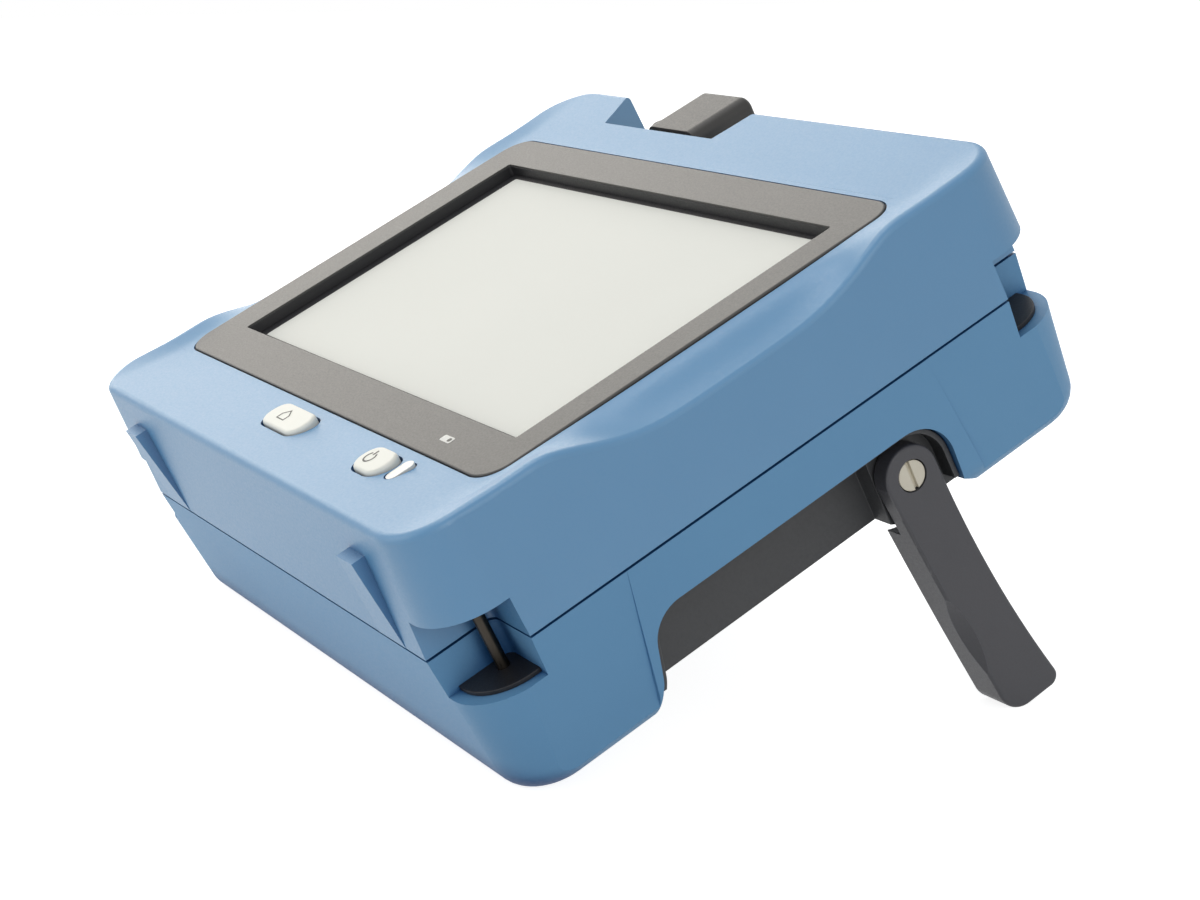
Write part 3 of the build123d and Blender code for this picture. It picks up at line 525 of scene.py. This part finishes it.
@dataclass(frozen=True)
class BlackenedSteel(Finish):
    """Blackened steel rod: drawn lines along it and a dull brown-black gleam."""

    name: str = "blackened_steel"
    colour: str = "#4a443c"
    shade: str = "#2b2a2a"
    edge_wear_and_painted_light: str = "#8a8276"
    roughness: float = 0.38
    metallic: float = 1.0
    grain_mm: float = 0.3
    grain_stretch: tuple[float, float, float] = (1.0, 1.0, 0.1)


@dataclass(frozen=True)
class SoftTaupeRubber(Finish):
    """Thermoplastic rubber on a hard core: a dark taupe, with a brown highlight painted on its
    edges.
    """

    name: str = "soft_taupe_rubber"
    colour: str = "#201e1b"
    shade: str = "#1c1a18"
    # Painted highlight: the brown that the edges are tinted towards
    edge_wear_and_painted_light: str = "#5b4d40"
    roughness: float = 0.46
    specular: float = 0.55
    grain_mm: float = 0.5
    grain_depth_mm: float = 0.015
    mottle_mm: float = 10.0
    sheen: float = 0.1


@dataclass(frozen=True)
class CreamScrewCoat(Finish):
    """Cream polyester coat on a steel screw, smooth, and darker along its edges and at the slot."""

    name: str = "cream_screw_coat"
    colour: str = "#e2dccb"
    shade: str = "#dad2bf"
    # Darker tint of the edges and of the slot
    edge_wear_and_painted_light: str = "#b9ab92"
    roughness: float = 0.36
    grain_mm: float = 0.35
    mottle_mm: float = 3.0
    edge_mm: float = 0.2


@dataclass(frozen=True)
class NickelPlate(Finish):
    """Nickel plate on brass: bright and a little warm, with fine turning marks."""

    name: str = "nickel_plate"
    colour: str = "#c9c5bd"
    shade: str = "#bdb9b1"
    edge_wear_and_painted_light: str = "#ddd9d0"
    roughness: float = 0.22
    metallic: float = 1.0
    grain_mm: float = 0.25
    grain_depth_mm: float = 0.003
    mottle_mm: float = 5.0


@dataclass(frozen=True)
class ZincPlate(Finish):
    """Zinc plate on steel: greyish and slightly cloudy."""

    name: str = "zinc_plate"
    colour: str = "#b4b6b8"
    shade: str = "#a4a7aa"
    edge_wear_and_painted_light: str = "#d0d2d4"
    roughness: float = 0.34
    metallic: float = 1.0
    grain_mm: float = 0.4
    mottle_mm: float = 2.0


@dataclass(frozen=True)
class BrushedStainless(Finish):
    """Stainless sheet with a grain brushed along its length."""

    name: str = "brushed_stainless"
    colour: str = "#b9b9b6"
    shade: str = "#adadaa"
    edge_wear_and_painted_light: str = "#d4d4d0"
    roughness: float = 0.32
    metallic: float = 1.0
    grain_mm: float = 0.3
    grain_stretch: tuple[float, float, float] = (0.06, 1.0, 1.0)


@dataclass(frozen=True)
class GreenAdapterPlastic(Finish):
    """Green PBT, the usual colour of an angled fibre adapter."""

    name: str = "green_adapter_plastic"
    colour: str = "#2f7f58"
    shade: str = "#2a7350"
    edge_wear_and_painted_light: str = "#57a07c"
    roughness: float = 0.42


@dataclass(frozen=True)
class TranslucentSilicone(Finish):
    """Silicone key mat: milky and soft."""

    name: str = "translucent_silicone"
    colour: str = "#c8caca"
    shade: str = "#bcbfbf"
    edge_wear_and_painted_light: str = "#dcdede"
    roughness: float = 0.5


@dataclass(frozen=True)
class SolderMask(Finish):
    """Green solder mask over glass fibre: glossy, with a weave that just shows."""

    name: str = "solder_mask"
    colour: str = "#1f5a3a"
    shade: str = "#184a30"
    edge_wear_and_painted_light: str = "#4a8a63"
    roughness: float = 0.3
    coating: Coating = Coating.LACQUERED
    coat: float = 0.5


@dataclass(frozen=True)
class BeadBlastedAluminium(Finish):
    """Bead-blasted aluminium: pale grey metal with a fine even sparkle."""

    name: str = "bead_blasted_aluminium"
    colour: str = "#c4c6c8"
    shade: str = "#babcbf"
    edge_wear_and_painted_light: str = "#dcdee0"
    roughness: float = 0.45
    metallic: float = 1.0
    grain_mm: float = 0.25
    grain_depth_mm: float = 0.02


@dataclass(frozen=True)
class ShrinkSleeve(Finish):
    """PVC shrink sleeve round the battery: dark and slightly wavy."""

    name: str = "shrink_sleeve"
    colour: str = "#2f3236"
    shade: str = "#282b2f"
    edge_wear_and_painted_light: str = "#4c5055"
    roughness: float = 0.35
    mottle_mm: float = 15.0


@dataclass(frozen=True)
class Acetal(Finish):
    """White acetal washer: waxy and smooth."""

    name: str = "acetal"
    colour: str = "#e2e2dc"
    shade: str = "#d8d8d2"
    edge_wear_and_painted_light: str = "#f0f0ea"
    roughness: float = 0.35


class Workshop:
    """Builds each finish once and turns outlines into meshes."""

    def __init__(self) -> None:
        """Starts with no finish built."""
        self.built: dict[str, bpy.types.Material] = {}

    def material(self, finish: Finish) -> bpy.types.Material:
        """Finds the material of a finish and builds it at its first use.

        Args:
            finish: What the piece is made of.

        Returns:
            The material, which pieces of the same finish share.
        """
        if finish.name not in self.built:
            self.built[finish.name] = finish.build()
        return self.built[finish.name]

    def dress(self, node: str, finish: Finish) -> None:
        """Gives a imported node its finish.

        Args:
            node: Name of the node.
            finish: What it is made of.
        """
        slots = frame["nodes"][node].material_slots
        if not slots:
            frame["nodes"][node].data.materials.append(self.material(finish))
        for slot in slots:
            slot.material = self.material(finish)
        log.info("%s wears %s", node, finish.name)

    def piece(self, name: str, mesh: bmesh.types.BMesh, finish: Finish, body: str,
              slot: str) -> None:
        """Turns a case-frame mesh in millimetres into a piece that rides on a body.

        Args:
            name: Name of the piece.
            mesh: Its mesh, which is used up.
            finish: What it is made of.
            body: Body that carries it.
            slot: Name of a material slot of the record; not used.
        """
        bmesh.ops.recalc_face_normals(mesh, faces=mesh.faces)
        data = bpy.data.meshes.new(name)
        mesh.to_mesh(data)
        mesh.free()
        data.transform(PLACE.matrix @ Matrix.Scale(MM, 4))
        data.materials.append(self.material(finish))
        made = bpy.data.objects.new(name, data)
        bpy.context.scene.collection.objects.link(made)
        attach(made, body)
        log.info("%s rides on %s", name, body)


def rounded_rectangle(width: float, height: float, radius: float, x: float = 0.0,
                      y: float = 0.0, steps: int = 8) -> list[Point]:
    """Outline of a rounded rectangle.

    Args:
        width: Size along X.
        height: Size along Y.
        radius: Corner radius.
        x: Middle along X.
        y: Middle along Y.
        steps: Segments of each corner.

    Returns:
        Its points, anticlockwise.
    """
    points = []
    for corner, (sx, sy) in enumerate(((1, 1), (-1, 1), (-1, -1), (1, -1))):
        for step in range(steps + 1):
            angle = (corner + step / steps) * math.pi / 2
            points.append((x + sx * (width / 2 - radius) + radius * math.cos(angle),
                           y + sy * (height / 2 - radius) + radius * math.sin(angle)))
    return points


def arc(radius: float, x: float, y: float, gap: float, steps: int = 32) -> list[Point]:
    """Points of an arc that is open at its top by the gap, in degrees, to either side."""
    angles = [math.radians(90 + gap + (360 - 2 * gap) * n / steps) for n in range(steps + 1)]
    return [(x + radius * math.cos(angle), y + radius * math.sin(angle)) for angle in angles]


def ring_mesh(outer: Sequence[Point], inner: Sequence[Point], low: float,
              high: float) -> bmesh.types.BMesh:
    """A flat ring between two outlines of as many points.

    Args:
        outer: Outside outline.
        inner: Inside outline, with a point for each of the outer ones.
        low: Underside height.
        high: Top height.

    Returns:
        The closed mesh.
    """
    mesh = bmesh.new()
    loops = [[mesh.verts.new((x, y, z)) for x, y in outline]
             for outline, z in ((outer, low), (outer, high), (inner, high), (inner, low))]
    count = len(outer)
    for a, b in zip(loops, loops[1:] + loops[:1]):
        for n in range(count):
            mesh.faces.new((a[n], a[(n + 1) % count], b[(n + 1) % count], b[n]))
    return mesh


def slab_mesh(outline: Sequence[Point], low: float, high: float) -> bmesh.types.BMesh:
    """A flat slab over an outline.

    Args:
        outline: Its points.
        low: Underside height.
        high: Top height.

    Returns:
        The closed mesh.
    """
    mesh = bmesh.new()
    bottom = [mesh.verts.new((x, y, low)) for x, y in outline]
    top = [mesh.verts.new((x, y, high)) for x, y in outline]
    count = len(outline)
    mesh.faces.new(bottom[::-1])
    mesh.faces.new(top)
    for n in range(count):
        mesh.faces.new((bottom[n], bottom[(n + 1) % count], top[(n + 1) % count], top[n]))
    return mesh


@dataclass
class Assembly:
    """A sub-assembly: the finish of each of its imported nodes, and what it adds to them."""

    workshop: Workshop
    wears: ClassVar[dict[str, Finish]] = {}

    def build(self) -> None:
        """Adds nothing, unless a sub-assembly has fine pieces of its own."""

    def dress(self) -> None:
        """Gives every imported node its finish; a name that ends in a star stands for a group."""
        for name, finish in self.wears.items():
            for node in frame["nodes"]:
                if node == name or (name.endswith("*") and node.startswith(name[:-1])):
                    self.workshop.dress(node, finish)


@dataclass
class Case(Assembly):
    """The two shells with the gasket between them and what is screwed into them."""

    wears = {
        "front_shell*": TexturedPcAbs(), "rear_shell*": RearPaintedLightPcAbs(), "case_gasket": NitrileCord(),
        "case_screws": ZincPlate(), "main_board": SolderMask(),
        "board_standoffs": BrushedStainless(), "optical_module": BeadBlastedAluminium(),
    }


@dataclass
class Display(Assembly):
    """Bezel, display and the dark step between them."""

    wears = {
        "screen_bezel": SatinGreyPolycarbonate(), "touch_panel": HardCoatedPanel(),
        "lcd_module": UnlitDisplay(), "display_bracket": BrushedStainless(),
    }
    window_width: float = 155.0
    window_height: float = 87.0
    window_x: float = 1.0
    window_y: float = 0.5
    window_radius: float = 0.8
    face_height: float = 64.8
    panel_height: float = 61.4
    light_left: float = -72.8
    light_right: float = 73.2
    light_low: float = -40.2
    light_top: float = 42.4
    light_radius: float = 0.6
    ink_thickness: float = 0.06
    lining_thickness: float = 0.12
    lining_radius: float = 0.7
    lining_drop: float = 0.5
    bezel_width: float = 177.6
    bezel_height: float = 112.2
    bezel_x: float = -1.2
    bezel_radius: float = 7.0
    gap: float = 0.4
    gap_ring_low: float = -2.0
    gap_ring_high: float = -0.75
    sign_x: float = 59.4
    sign_y: float = -50.2
    sign_size: tuple[float, float, float] = (4.7, 2.0, 0.5)
    mark_x: float = 60.5
    mark_size: tuple[float, float, float] = (1.3, 1.2, 0.45)
    sign_thickness: float = 0.03
    mark_thickness: float = 0.045

    def build(self) -> None:
        """Adds the border, the light area, the lining, the black ring in the bezel gap and the
        status sign.
        """
        self.build_window()
        self.build_gap_ring()
        self.build_sign()

    def build_window(self) -> None:
        """Adds the black border and the light area of the display, and the window's lining."""
        outer = rounded_rectangle(self.window_width - 2 * LIFT, self.window_height - 2 * LIFT,
                                  self.window_radius, self.window_x, self.window_y)
        light = rounded_rectangle(
            self.light_right - self.light_left, self.light_top - self.light_low,
            self.light_radius, (self.light_right + self.light_left) / 2,
            (self.light_top + self.light_low) / 2)
        base = self.panel_height + LIFT
        border = ring_mesh(outer, light, base, base + self.ink_thickness)
        self.workshop.piece("display_border", border, BlackLiner(), "case", "plate_dark")
        area = slab_mesh(light, base, base + self.ink_thickness / 2)
        self.workshop.piece("display_light_area", area, UnlitDisplay(), "case", "lcd_face")
        inner = rounded_rectangle(self.window_width - 2 * self.lining_thickness,
                                  self.window_height - 2 * self.lining_thickness,
                                  self.lining_radius, self.window_x, self.window_y)
        lining = ring_mesh(outer, inner, base, self.face_height - self.lining_drop)
        self.workshop.piece("window_lining", lining, BlackLiner(), "case", "plate_dark")

    def build_gap_ring(self) -> None:
        """Adds the black line in the gap round the bezel."""
        around = rounded_rectangle(self.bezel_width + 2 * (self.gap - LIFT),
                                   self.bezel_height + 2 * (self.gap - LIFT),
                                   self.bezel_radius + self.gap, self.bezel_x)
        edge = rounded_rectangle(self.bezel_width + 2 * LIFT, self.bezel_height + 2 * LIFT,
                                 self.bezel_radius, self.bezel_x)
        # A black ring down in the bezel gap, which makes the gap read black
        gap_ring = ring_mesh(around, edge, self.face_height + self.gap_ring_low,
                         self.face_height + self.gap_ring_high)
        self.workshop.piece("bezel_gap_ring", gap_ring, BlackLiner(), "case", "gasket_rubber")

    def build_sign(self) -> None:
        """Adds the small printed status sign."""
        low = self.face_height + LIFT / 2
        for name, x, size, finish, thickness in (
                ("battery_sign", self.sign_x, self.sign_size, WhitePrint(), self.sign_thickness),
                ("battery_sign_mark", self.mark_x, self.mark_size, PadPrint(),
                 self.mark_thickness)):
            outline = rounded_rectangle(*size, x, self.sign_y, SIGN_STEPS)
            self.workshop.piece(name, slab_mesh(outline, low, low + thickness), finish, "case",
                                "key_white")


@dataclass
class Keys(Assembly):
    """The two keys, their printed signs and the status light."""

    wears = {
        "home_button": SatinKeyPlastic(), "power_button": SatinKeyPlastic(),
        "status_light_pipe": MilkyLightPipe(), "keypad_mat": TranslucentSilicone(),
        "keypad_board": SolderMask(),
    }
    top_height: float = 66.7
    sign_y: float = -64.1
    house_x: float = -0.4
    ring_x: float = 48.8
    ink_thickness: float = 0.035
    line: float = 0.42
    house_wall: float = 2.1
    house_base: float = -1.5
    house_eaves: float = 0.4
    house_ridge: float = 2.2
    power_radius: float = 1.8
    power_gap: float = 35.0
    bar_length: float = 1.7
    bar_radius: float = 0.2
    bar_drop: float = 0.2

    def build(self) -> None:
        """Adds the printed signs."""
        low = self.top_height + LIFT / 2
        high = low + self.ink_thickness
        self.print_house(low, high)
        self.print_power(low, high)

    def print_house(self, low: float, high: float) -> None:
        """Prints the outline of a house on the wide key.

        Args:
            low: Underside height of the ink.
            high: Top height of the ink.
        """
        wall, base, eaves = self.house_wall, self.house_base, self.house_eaves
        shape = [(-wall, base), (wall, base), (wall, eaves), (0.0, self.house_ridge),
                 (-wall, eaves)]
        outlines = [[(self.house_x + x * scale, self.sign_y + y * scale) for x, y in shape]
                    for scale in (1.0, 1 - self.line / wall)]
        self.workshop.piece("home_sign", ring_mesh(*outlines, low, high), PadPrint(), "home_key",
                            "key_white")

    def print_power(self, low: float, high: float) -> None:
        """Prints the open ring and the bar of the power sign on the narrow key.

        Args:
            low: Underside height of the ink.
            high: Top height of the ink.
        """
        outside, inside = (arc(radius, self.ring_x, self.sign_y, self.power_gap)
                           for radius in (self.power_radius, self.power_radius - self.line))
        ring = slab_mesh(outside + inside[::-1], low, high)
        self.workshop.piece("power_sign_ring", ring, PadPrint(), "power_key", "key_white")
        middle = self.sign_y + self.power_radius - self.bar_drop
        bar = rounded_rectangle(self.line, self.bar_length, self.bar_radius, self.ring_x, middle,
                                SIGN_STEPS)
        self.workshop.piece("power_sign_bar", slab_mesh(bar, low, high + LIFT), PadPrint(),
                            "power_key", "key_white")


@dataclass
class StrapAnchors(Assembly):
    """Pins and plates of the corner pockets."""

    wears = {"strap_pins": BlackenedSteel(), "anchor_plates": BlackLiner()}


@dataclass
class ConnectorBay(Assembly):
    """Port plate, ports and dust cap."""

    wears = {
        "connector_plate": DarkHousingPlastic(), "dust_cap": SoftTaupeRubber(),
        "cap_hinge_pin": BrushedStainless(), "test_port_adapter": GreenAdapterPlastic(),
        "fault_locator_port": NickelPlate(), "power_meter_port": NickelPlate(),
        "usb_socket": NickelPlate(), "charge_jack": NickelPlate(),
    }


@dataclass
class Stand(Assembly):
    """The dark middle of the back, the folding legs and the battery."""

    wears = {
        "stand_housing": DarkHousingPlastic(), "battery_door": DarkHousingPlastic(),
        "stand_leg_*": GlassFilledNylon(), "stand_screws": CreamScrewCoat(),
        "stand_washers": Acetal(), "door_screws": ZincPlate(), "battery_pack": ShrinkSleeve(),
    }


@dataclass(frozen=True)
class Lamp:
    """A square softbox: where it hangs in metres, its side in metres, its watts and its tint."""

    name: str
    place: tuple[float, float, float]
    size: float
    power: float
    tint: str = "#ffffff"


@dataclass(frozen=True)
class View:
    """Where the photograph was taken from, found from the straight edges of the case.

    The place is in millimetres and the directions are unit ones, all in the frame of the case.
    """

    lens: float = 69.75
    sensor: float = 36.0
    nearest: float = 0.01
    place: tuple[float, float, float] = (495.97, -186.82, 252.33)
    right: tuple[float, float, float] = (0.48656, 0.78148, -0.39057)
    up: tuple[float, float, float] = (-0.19289, 0.53212, 0.82441)
    back: tuple[float, float, float] = (0.85209, -0.32579, 0.40965)


@dataclass
class Studio:
    """Floor, lamps, world and camera."""

    view: View = View()
    lamps: tuple[Lamp, ...] = (
        Lamp("left_wall", (-1.4, 0.1, 0.75), 1.4, 11.0, "#fff9ee"),
        Lamp("key_softbox", (-0.35, -1.35, 0.6), 1.0, 4.0, "#fffdf8"),
        Lamp("top_softbox", (-0.25, -0.36, 1.55), 0.7, 4.8),
        Lamp("side_fill", (1.6, -0.3, 0.7), 0.9, 5.5),
    )
    aim: tuple[float, float, float] = (0.0, 0.0, 0.07)
    floor_size: float = 8.0
    floor_colour: str = "#cfcfcf"
    floor_glow: float = 0.86
    ambient: float = 0.44
    ambient_tint: str = "#fbfdff"

    def build(self) -> None:
        """Builds the whole studio."""
        self.light_world()
        self.lay_floor()
        for lamp in self.lamps:
            self.hang(lamp)
        self.place_camera()

    def seen_plainly(self, tree: bpy.types.NodeTree) -> bpy.types.NodeSocket:
        """Tells the camera's own look, straight, mirrored or through glass, from other light.

        Args:
            tree: The node tree of a material or world.

        Returns:
            A socket that is one for the camera's look and zero for the rest.
        """
        path = add_node(tree, "ShaderNodeLightPath").outputs
        seen = path["Is Camera Ray"]
        for kind in ("Is Glossy Ray", "Is Transmission Ray"):
            seen = add_node(tree, "ShaderNodeMath", {"operation": "MAXIMUM"}, in_0=seen,
                            in_1=path[kind]).outputs[0]
        return seen

    def light_world(self) -> None:
        """White to the camera, a soft even light to everything else."""
        world = bpy.data.worlds.new("studio")
        bpy.context.scene.world = world
        world.use_nodes = True
        tree = world.node_tree
        tree.nodes.clear()
        soft = add_node(tree, "ShaderNodeBackground", Color=linear(self.ambient_tint),
                        Strength=self.ambient)
        white = add_node(tree, "ShaderNodeBackground", Color=linear("#ffffff"), Strength=1.0)
        mixed = add_node(tree, "ShaderNodeMixShader", in_0=self.seen_plainly(tree),
                         in_1=soft.outputs[0], in_2=white.outputs[0])
        add_node(tree, "ShaderNodeOutputWorld", Surface=mixed.outputs[0])

    def lay_floor(self) -> None:
        """A plain pale floor that keeps the shadow of the object."""
        half = self.floor_size / 2
        mesh = bmesh.new()
        mesh.faces.new([mesh.verts.new((x, y, 0)) for x, y in (
            (-half, -half), (half, -half), (half, half), (-half, half))])
        data = bpy.data.meshes.new("floor")
        mesh.to_mesh(data)
        mesh.free()
        data.materials.append(self.floor_material())
        floor = bpy.data.objects.new("floor", data)
        bpy.context.scene.collection.objects.link(floor)

    def floor_material(self) -> bpy.types.Material:
        """Matt pale grey, which glows only to the camera so that it meets the white round it.

        Returns:
            The material.
        """
        made = bpy.data.materials.new("pale_floor")
        made.use_nodes = True
        tree = made.node_tree
        tree.nodes.clear()
        pale = add_node(tree, "ShaderNodeBsdfDiffuse", Color=linear(self.floor_colour))
        glow = add_node(tree, "ShaderNodeEmission", Color=linear("#ffffff"),
                        Strength=self.floor_glow)
        lit = add_node(tree, "ShaderNodeAddShader", in_0=pale.outputs[0], in_1=glow.outputs[0])
        mixed = add_node(tree, "ShaderNodeMixShader", in_0=self.seen_plainly(tree),
                         in_1=pale.outputs[0], in_2=lit.outputs[0])
        add_node(tree, "ShaderNodeOutputMaterial", Surface=mixed.outputs[0])
        return made

    def hang(self, lamp: Lamp) -> None:
        """Hangs a lamp so that it faces the instrument.

        Args:
            lamp: The lamp to hang.
        """
        data = bpy.data.lights.new(lamp.name, "AREA")
        data.size = lamp.size
        data.energy = lamp.power
        data.color = linear(lamp.tint)[:3]
        made = bpy.data.objects.new(lamp.name, data)
        made.location = lamp.place
        to_object = Vector(self.aim) - Vector(lamp.place)
        made.rotation_euler = to_object.to_track_quat("-Z", "Y").to_euler()
        bpy.context.scene.collection.objects.link(made)

    def place_camera(self) -> None:
        """Puts the camera at its view."""
        data = bpy.data.cameras.new("camera")
        data.sensor_width = self.view.sensor
        data.lens = self.view.lens
        data.clip_start = self.view.nearest
        camera = bpy.data.objects.new("camera", data)
        axes = [PLACE.direction(*axis) for axis in (self.view.right, self.view.up, self.view.back)]
        turn = Matrix(axes).transposed().to_4x4()
        camera.matrix_world = Matrix.Translation(PLACE.point(*self.view.place)) @ turn
        bpy.context.scene.collection.objects.link(camera)
        bpy.context.scene.camera = camera


def main() -> None:
    """Builds and dresses the instrument, then the studio round it."""
    logging.basicConfig(level=logging.INFO, format="%(name)s: %(message)s")
    bpy.context.scene.view_settings.view_transform = "Standard"
    workshop = Workshop()
    for kind in (Case, Display, Keys, StrapAnchors, ConnectorBay, Stand):
        assembly = kind(workshop)
        assembly.build()
        assembly.dress()
    Studio().build()


if __name__ == "__main__":
    main()
